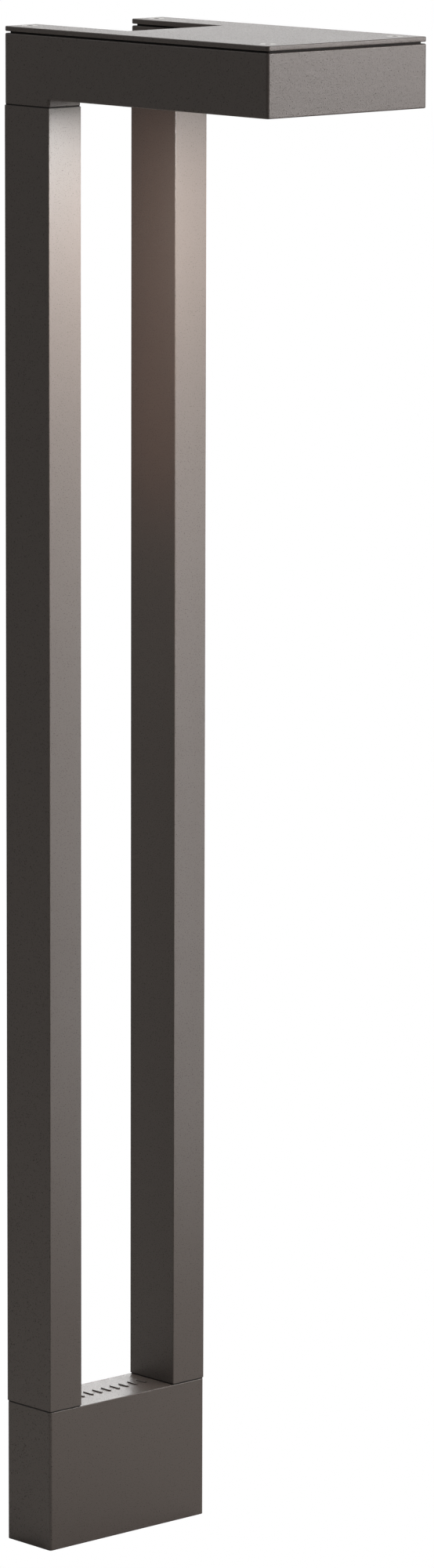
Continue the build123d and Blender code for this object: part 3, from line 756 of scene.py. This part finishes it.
coverScrewPlaces = middles("cover_screws", 4)
frameScrewPlaces = middles("window_frame_screws", 4)
sinkScrewPlaces = middles("heat_sink_screws", 4)
driverScrewPlaces = middles("driver_screws", 2)
setScrewPlaces = middles("set_screws", 2)

coverScrew = {
    "shank": 2.95 * mm, "head": 5.95 * mm, "length": 14 * mm, "land": 0.3 * mm,
    "socket": 4 * mm, "socketDepth": 2.4 * mm, "pitch": 1.0 * mm,
}
cover = {"edge": 0.7 * mm, "clear": 0.1 * mm}


def addCountersink(net, x, y, face, towards, look, clear):
    # the hole that a countersunk screw fits; towards is 1 where the face looks up, -1 where it looks down
    wide, thin = look["head"] + clear, look["shank"] + clear
    depths = ((wide, -2 * past), (wide, look["land"]), (thin, look["land"] + wide - thin), (thin, 12 * past))
    loft(net, [circle(x, y, radius, face - towards * depth) for radius, depth in depths])


def makeCover():
    plate = shaped("coverPlate", lambda net: addBlock(
        net, headOutline, head["corner"], coverLow.z, coverHigh.z, cover["edge"], cover["edge"]))

    def holes(net):
        for spot in coverScrewPlaces:
            addCountersink(net, spot.x, spot.y, coverHigh.z, 1, coverScrew, cover["clear"])

    plate = machined(plate, ("DIFFERENCE", holes))
    mount("coverPlate", plate, "cover", "powder_coat", "top_cover")
    screwSet("coverScrews", "cover", "stainless", coverScrew,
             [(p.x, p.y, coverHigh.z) for p in coverScrewPlaces], (0, 0, 0), 11, "cover_screws")


makeCover()
print("cover made")

seal = {"coverInset": 2.4 * mm, "coverWidth": 2.2 * mm, "postInset": 0.5 * mm, "postWall": 2.5 * mm,
        "lip": 0.15 * mm}


def addSeal(net, corners, radius, inset, width, low, high):
    # a flat seal squeezed to a slight bulge on both of its sides
    middle = (low + high) / 2
    lip = seal["lip"]
    pairs = [(inset + lip, low), (inset, middle), (inset + lip, high)]
    pairs += [(inset + width - lip, high), (inset + width, middle), (inset + width - lip, low)]
    loft(net, [ring(corners, radius, z, within) for within, z in pairs], tube=True)


def makeSeals():
    mount("coverGasket", shaped("coverGasket", lambda net: addSeal(
        net, headOutline, head["corner"] + seal["coverInset"], seal["coverInset"], seal["coverWidth"],
        gasketLow.z, gasketHigh.z)), "lamp", "seal_rubber", "cover_gasket")
    for name, node in (("footSeals", "post_foot_gaskets"), ("topSeals", "post_top_gaskets")):
        low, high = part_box(node)

        def draw(net):
            for side in sides:
                corners = boxAround(side * -postX, 0, postWidth, postDepth)
                addSeal(net, corners, seal["postInset"] * 2, seal["postInset"],
                        seal["postWall"] - seal["postInset"], low.z, high.z)

        mount(name, shaped(name, draw), "lamp", "seal_rubber", node)


makeSeals()

post = {"corner": 0.7 * mm, "wall": 2.5 * mm, "innerCorner": 0.3 * mm, "cutEdge": 0.12 * mm}


def makePosts():
    for side, node in zip(sides, ("left_post", "right_post")):
        low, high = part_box(node)
        corners = boxCorners(low, high)
        outside = edgeProfile(low.z, high.z, post["cutEdge"], post["cutEdge"], 2)
        rings = [ring(corners, post["corner"], z, inset) for inset, z in outside]
        inside = shrink(corners, post["wall"])
        rings += [ring(inside, post["innerCorner"], z) for z in (high.z, low.z)]
        name = "leftPost" if side < 0 else "rightPost"
        mount(name, shaped(name, lambda net: loft(net, rings, tube=True)), "lamp", "powder_coat", node)


makePosts()
print("posts and seals made")

base = {
    "corner": 2 * mm,
    "edge": 0.5 * mm,
    "wall": 5 * mm,
    "topWall": 8 * mm,
    "cavityCorner": 3 * mm,
    "cavityEdge": 0.8 * mm,
    "spigot": 8 * mm,
    "spigotClear": 0.3 * mm,
    "spigotEdge": 1 * mm,
    "screwHoleDepth": 6 * mm,
    "setScrewHole": 3.05 * mm,
    "barCount": 9,
    "barPitch": 8.4 * mm,
    "barLength": 10 * mm,
    "barWidth": 2.4 * mm,
    "barHeight": 0.8 * mm,
    "barRound": 0.48,           # of the bar's width
    "barEdge": 0.25 * mm,
    "barSunk": 0.2 * mm,
}


def addSpigots(net, low, high, lowEdge=0.0, highEdge=0.0):
    inset = 2 * (post["wall"] + base["spigotClear"])
    for side in sides:
        corners = boxAround(side * postX, 0, postWidth - inset, postDepth - inset)
        addBlock(net, corners, post["corner"], low, high, lowEdge, highEdge)


def addPostHoles(net, low, high):
    for side in sides:
        addRod(net, side * postX, head["rodY"], head["rodHole"], low, high)
    cableLow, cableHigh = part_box("base_grommet")
    addRod(net, postX, (cableLow.y + cableHigh.y) / 2, head["cableHole"], low, high)


def makeBase():
    low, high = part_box("base_housing")
    ceiling = baseHigh - base["topWall"]
    corners = boxCorners(low, high)
    block = shaped("baseCasting", lambda net: addBlock(
        net, corners, base["corner"], low.z, baseHigh, base["edge"], base["edge"]))

    def hollow(net):
        addBlock(net, shrink(corners, base["wall"]), base["cavityCorner"], low.z - 10 * past, ceiling,
                 0, base["cavityEdge"])

    def spigots(net):
        addSpigots(net, ceiling + past, high.z, 0, base["spigotEdge"])

    def holes(net):
        addPostHoles(net, ceiling - past, baseHigh + 2 * base["spigot"])
        for spot in [*middles("terminal_screws", 2), *middles("surge_screws", 2), *middles("earth_screw", 1)]:
            addRod(net, spot.x, spot.y, head["screwHole"], ceiling - past, ceiling + base["screwHoleDepth"])

    def rearHoles(net):
        for spot in setScrewPlaces:
            addRod(net, spot.x, -spot.z, base["setScrewHole"], high.y - 3 * base["wall"], high.y + 5 * past)
        bmesh.ops.rotate(net, verts=net.verts, matrix=Matrix.Rotation(math.radians(-90), 3, "X"))

    block = machined(block, ("DIFFERENCE", hollow), ("UNION", spigots), ("DIFFERENCE", holes),
                     ("DIFFERENCE", rearHoles))
    mount("baseCasting", block, "lamp", "powder_coat", "base_housing")

    def bar(net):
        corners = boxAround(0, 0, base["barWidth"], base["barLength"])
        addBlock(net, corners, base["barWidth"] * base["barRound"], -base["barSunk"], base["barHeight"],
                 0, base["barEdge"])

    template = addThing("barTemplate", shaped("barTemplate", bar))
    start = -(base["barCount"] - 1) / 2 * base["barPitch"]
    bars = grown("baseBars", row, [], template, Piece=template, Count=base["barCount"],
                 Start=(start, 0, baseHigh), Pitch=(base["barPitch"], 0, 0), Finish=finishes["powder_coat"])
    mount("baseBars", bars, "lamp", "powder_coat")


makeBase()
print("base made")

window = {
    "edge": 0.6 * mm,
    "backEdge": 0.1 * mm,
    "corner": 2 * mm,
    "flare": 0.8 * mm,
    "lap": 4 * mm,
    "frameClear": 0.1 * mm,
    "glassCorner": 1 * mm,
    "glassEdge": 0.3 * mm,
}
frameScrew = {
    "shank": 1.95 * mm, "head": 3.55 * mm, "length": 10 * mm, "land": 0.3 * mm,
    "socket": 1.95 * mm, "socketDepth": 1.2 * mm, "pitch": 0.7 * mm,
}
frameLow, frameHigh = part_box("window_frame")
glassLow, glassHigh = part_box("light_window")
sinkLow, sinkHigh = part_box("heat_sink")
lightMiddle = (glassLow + glassHigh) / 2


def makeHead():
    opening = shrink(boxCorners(glassLow, glassHigh), window["lap"])
    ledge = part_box("window_gasket")[1].z
    rim = shrink(opening, -head["rimBorder"])
    casting = shaped("headCasting", lambda net: addBlock(
        net, headOutline, head["corner"], headLow, rimTop, head["edge"], head["edge"]))
    tray = shrink(headOutline, head["wall"])
    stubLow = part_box("post_top_gaskets")[1].z
    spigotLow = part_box("head_housing")[0].z

    def hollow(net):
        addBlock(net, tray, head["corner"], floorTop, rimTop + 5 * past, head["hollowEdge"], 0)

    def stubs(net):
        for side in sides:
            corners = boxAround(side * postX, 0, postWidth, postDepth)
            addBlock(net, corners, head["corner"], stubLow, floorTop - past, head["stubEdge"], 0)
        addBlock(net, rim, head["rimCorner"], floorTop - past, sinkLow.z, 0, head["rimEdge"])

    def bosses(net):
        for spot in driverScrewPlaces:
            addRod(net, spot.x, spot.y, head["driverBoss"], floorTop - past, floorTop + head["driverBoss"])
        for spot in coverScrewPlaces:
            if spot.y < slotY:
                addRod(net, spot.x, spot.y, head["boss"], floorTop - past, rimTop)
            else:
                front, rear = spot.y - head["boss"], coverHigh.y - head["wall"] / 2
                lug = boxCorners((spot.x - postWidth / 2 + head["wall"] / 2, front),
                                 (spot.x + postWidth / 2 - head["wall"] / 2, rear))
                addBlock(net, lug, head["lugCorner"], rimTop - head["lug"], rimTop)

    def holes(net):
        addPostHoles(net, spigotLow - 5 * past, floorTop + 2 * past)
        shank = coverScrew["shank"] + cover["clear"]
        for spot in coverScrewPlaces:
            addRod(net, spot.x, spot.y, shank, coverHigh.z - head["coverHoleDepth"], rimTop + past)
        for places, low, high in (
                (frameScrewPlaces, headLow - past, headLow + head["frameHoleDepth"]),
                (sinkScrewPlaces, sinkLow.z - head["sinkHoleDepth"], sinkLow.z + past),
                (driverScrewPlaces, floorTop - head["driverHoleDepth"], floorTop + 5 * past)):
            for spot in places:
                addRod(net, spot.x, spot.y, head["screwHole"], low, high)
        ventLow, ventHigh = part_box("breather_vent")
        addRod(net, (ventLow.x + ventHigh.x) / 2, (ventLow.y + ventHigh.y) / 2, head["ventHole"],
               headLow - past, floorTop + past)

    def spigots(net):
        addSpigots(net, spigotLow, floorTop - 2 * past, base["spigotEdge"])

    def pocket(net):
        addBlock(net, shrink(boxCorners(frameLow, frameHigh), -head["seat"]), window["corner"],
                 headLow - past, frameHigh.z)

    def seat(net):
        addBlock(net, shrink(boxCorners(glassLow, glassHigh), -head["seat"]), head["seatCorner"],
                 frameHigh.z - past, ledge)

    def throat(net):
        addBlock(net, opening, head["throatCorner"], headLow, sinkLow.z + past)

    casting = machined(
        casting, ("DIFFERENCE", hollow), ("UNION", stubs), ("UNION", bosses), ("UNION", spigots),
        ("DIFFERENCE", pocket), ("DIFFERENCE", seat), ("DIFFERENCE", throat), ("DIFFERENCE", holes))
    mount("headCasting", casting, "lamp", "powder_coat", "head_housing")


def makeWindow():
    outside = boxCorners(frameLow, frameHigh)
    opening = shrink(boxCorners(glassLow, glassHigh), window["lap"])

    def draw(net):
        rings = [ring(outside, window["corner"], z, inset)
                 for inset, z in edgeProfile(frameLow.z, frameHigh.z, window["edge"], window["backEdge"])]
        rings += [ring(opening, window["corner"], frameHigh.z)]
        rings += [ring(opening, window["corner"], frameLow.z + window["flare"])]
        rings += [ring(shrink(opening, -window["flare"]), window["corner"], frameLow.z)]
        loft(net, rings, tube=True)

    def holes(net):
        for spot in frameScrewPlaces:
            addCountersink(net, spot.x, spot.y, frameLow.z, -1, frameScrew, window["frameClear"])

    surround = machined(shaped("windowFrame", draw), ("DIFFERENCE", holes))
    mount("windowFrame", surround, "lamp", "powder_coat", "window_frame")
    screwSet("windowFrameScrews", "lamp", "stainless", frameScrew,
             [(p.x, p.y, frameLow.z) for p in frameScrewPlaces], (math.pi, 0, 0), 23, "window_frame_screws")
    mount("frostedWindow", shaped("frostedWindow", lambda net: addBlock(
        net, boxCorners(glassLow, glassHigh), window["glassCorner"], glassLow.z, glassHigh.z,
        window["glassEdge"], window["glassEdge"])), "lamp", "window_frosted", "light_window")
    size = opening[2] - opening[0]
    lean = math.radians(glow["lean"])
    under = frameLow.z - glow["gap"] - math.sin(lean) * size.y / 2
    target = (lightMiddle.x, lightMiddle.y + math.sin(lean), under - math.cos(lean))
    shine = addPanel("windowShine", (lightMiddle.x, lightMiddle.y, under), target,
                     size.x, size.y, glow["watts"], glow["spread"], glow["colour"])
    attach(shine, "lamp")


makeHead()
makeWindow()
print("head and window made")

sink = {
    "plate": 3 * mm,
    "corner": 2 * mm,
    "edge": 0.15 * mm,
    "finCount": 13,
    "finWidth": 1.6 * mm,
    "finCorner": 0.2 * mm,
    "finTip": 0.5 * mm,
    "finFoot": 0.3 * mm,
    "channel": 14 * mm,
    "channelLift": 0.01 * mm,       # keeps the cut clear of the plate
    "screwHole": 2.05 * mm,
    "wireHole": 3.5 * mm,
}
chip = {"size": 5 * mm, "corner": 0.6 * mm, "dome": 0.35 * mm, "crown": 0.9, "steps": 5}


def makeLightEngine():
    plateTop = sinkLow.z + sink["plate"]
    corners = boxCorners(sinkLow, sinkHigh)
    opening = glassHigh.x - glassLow.x - 2 * window["lap"]
    redLow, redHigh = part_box("red_led_lead")
    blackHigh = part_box("black_led_lead")[1]
    wireX = (redLow.x + blackHigh.x) / 2
    wireY = redLow.y + (redHigh.x - redLow.x) / 2
    plate = shaped("sinkPlate", lambda net: addBlock(
        net, corners, sink["corner"], sinkLow.z, plateTop, sink["edge"], sink["edge"]))

    def fin(net):
        outline = boxAround(0, lightMiddle.y, sink["finWidth"], sinkHigh.y - sinkLow.y)
        addBlock(net, outline, sink["finCorner"], plateTop - sink["finFoot"], sinkHigh.z, 0, sink["finTip"])

    def channel(net):
        rear, front = sinkHigh.y + 5 * past, wireY - 2 * sink["wireHole"]
        addBlock(net, boxCorners((wireX - sink["channel"] / 2, front), (wireX + sink["channel"] / 2, rear)),
                 sink["finCorner"], plateTop + sink["channelLift"], sinkHigh.z + 5 * past)

    def holes(net):
        for spot in sinkScrewPlaces:
            addRod(net, spot.x, spot.y, sink["screwHole"], sinkLow.z - past, plateTop + past / 2)
        addRod(net, wireX, wireY, sink["wireHole"], sinkLow.z - past, plateTop + past / 2)

    template = addThing("finTemplate", shaped("finTemplate", fin))
    pitch = (opening - sink["finWidth"]) / (sink["finCount"] - 1)
    fins = grown("sinkFins", row, [], template, Piece=template, Count=sink["finCount"],
                 Start=(lightMiddle.x - (sink["finCount"] - 1) / 2 * pitch, 0, 0), Pitch=(pitch, 0, 0),
                 Finish=finishes["sink_aluminium"])
    fins = machined(fins, ("DIFFERENCE", channel))
    mount("sinkFins", fins, "lamp", "sink_aluminium")
    plate = machined(plate, ("DIFFERENCE", holes))
    mount("sinkPlate", plate, "lamp", "sink_aluminium", "heat_sink")

    chipLow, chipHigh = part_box("led_chips")

    def tile(net):
        # a phosphor tile with a soft dome that faces down
        outline = boxAround(0, 0, chip["size"], chip["size"])
        rings = [ring(outline, chip["corner"], z) for z in (chipHigh.z, chipLow.z + chip["dome"])]
        for k in range(1, chip["steps"]):
            turn = math.pi / 2 * k / chip["steps"]
            inset = chip["size"] / 2 * (1 - math.cos(turn)) * chip["crown"]
            height = chipLow.z + chip["dome"] * (1 - math.sin(turn))
            rings.append(ring(outline, chip["corner"] + inset, height, inset))
        loft(net, rings)

    template = addThing("chipTemplate", shaped("chipTemplate", tile))
    chips = grown("ledChips", fixings, [(p.x, p.y, 0) for p in chipPlaces], template, Fixing=template,
                  Tilt=(0, 0, 0), Turn_Most=0.0, Turn_Seed=0, Finish=finishes["chip_yellow"])
    mount("ledChips", chips, "lamp", "chip_yellow", "led_chips")


makeLightEngine()
print("light engine made")

# the other pieces keep their own shapes and take their finishes
for name, node in nodes.items():
    node.data.materials.clear()
    node.data.materials.append(finishes[slotOf[name]])
print("all finishes on")
